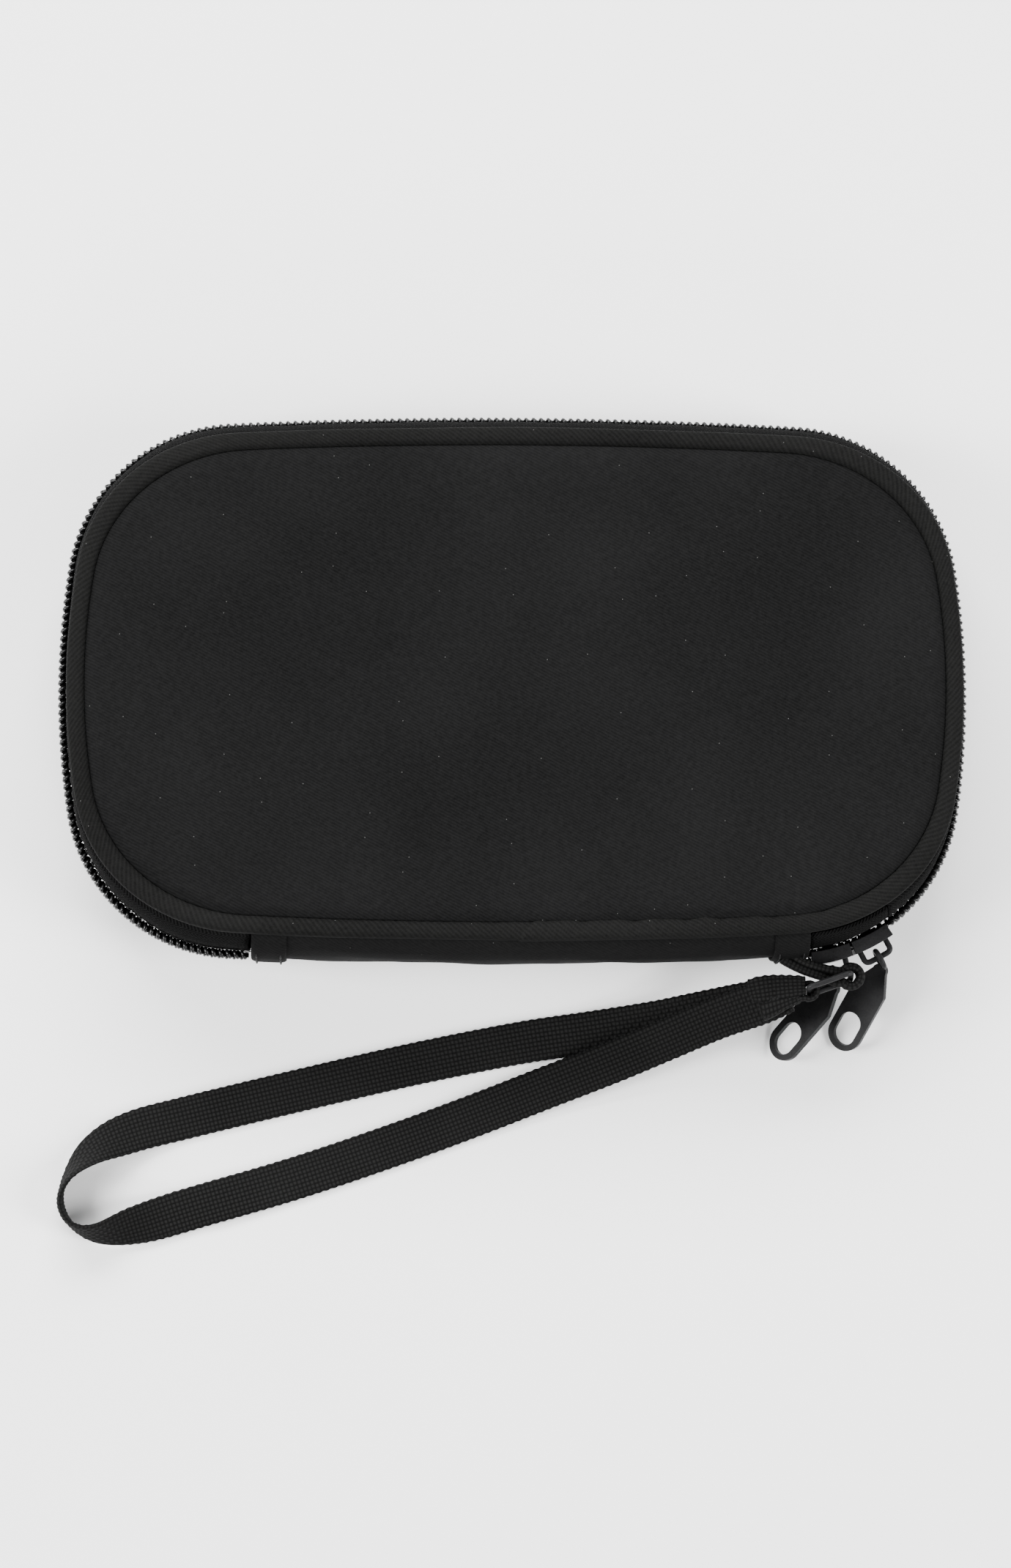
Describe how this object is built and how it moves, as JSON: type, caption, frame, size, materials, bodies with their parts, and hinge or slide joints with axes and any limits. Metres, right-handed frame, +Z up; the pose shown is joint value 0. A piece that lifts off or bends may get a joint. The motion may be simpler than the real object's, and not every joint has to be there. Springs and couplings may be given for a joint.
{
  "type": "zippered pouch",
  "caption": "Black padded zip-around pouch lying on its back, with bound edges, a cloth spine, a coil zip with two sliders, and a webbing wrist strap on a wire ring.",
  "frame": {"origin": "middle of the back panel's resting face", "axes": "+X along the width towards the sliders' end, +Y from the spine to the far long side, +Z up out of the front panel"},
  "size_m": [0.2008, 0.1835, 0.032],
  "materials": {
    "twill": "matte",
    "binding": "matte",
    "foam": "matte",
    "lining": "matte",
    "zip_tape": "matte",
    "coil": "satin",
    "webbing": "matte",
    "black_metal": "satin"
  },
  "bodies": {
    "pouch_back": {"back_panel": "twill", "back_foam": "foam", "back_lining": "lining", "back_binding": "binding", "spine": "twill", "spine_lining": "lining", "left_end_tab": "binding", "right_end_tab": "binding", "back_zip_tape": "zip_tape", "back_zip_coil": "coil", "front_tape_end": "zip_tape", "front_coil_end": "coil", "left_slider": "black_metal", "left_crown": "black_metal", "strap_tab": "webbing"},
    "front_cover": {"front_panel": "twill", "front_foam": "foam", "front_lining": "lining", "front_binding": "binding", "front_zip_tape": "zip_tape", "front_zip_coil": "coil"},
    "right_slider_body": {"right_slider": "black_metal", "right_crown": "black_metal"},
    "right_pull_body": {"right_pull": "black_metal"},
    "left_pull_body": {"left_pull": "black_metal"},
    "strap_ring_body": {"strap_ring": "black_metal"},
    "wrist_strap_body": {"strap_eye": "webbing", "wrist_strap": "webbing"}
  },
  "joints": [
    {"name": "cover_open", "type": "hinge", "parent": "pouch_back", "child": "front_cover", "pos_m": [0, -0.0586, 0.0273], "axis": [1, 0, 0], "range_deg": [0, 165]},
    {"name": "right_slider_travel", "type": "hinge", "parent": "pouch_back", "child": "right_slider_body", "pos_m": [0.0608, -0.0214, 0.013], "axis": [0, 0, 1], "range_deg": [0, 46]},
    {"name": "right_pull_lift", "type": "hinge", "parent": "right_slider_body", "child": "right_pull_body", "pos_m": [0.08061, -0.05866, 0.013], "axis": [-0.8829, -0.4695, 0], "range_deg": [0, 60]},
    {"name": "left_pull_lift", "type": "hinge", "parent": "pouch_back", "child": "left_pull_body", "pos_m": [0.07072, -0.06242, 0.013], "axis": [-0.972, -0.2351, 0], "range_deg": [0, 14]},
    {"name": "ring_swing", "type": "hinge", "parent": "pouch_back", "child": "strap_ring_body", "pos_m": [0.0736, -0.0632, 0.0195], "axis": [0, 0, 1], "range_deg": [0, 6]},
    {"name": "strap_swing", "type": "hinge", "parent": "strap_ring_body", "child": "wrist_strap_body", "pos_m": [0.0644, -0.0664, 0.0195], "axis": [0, 0, 1], "range_deg": [-1, 12]}
  ]
}
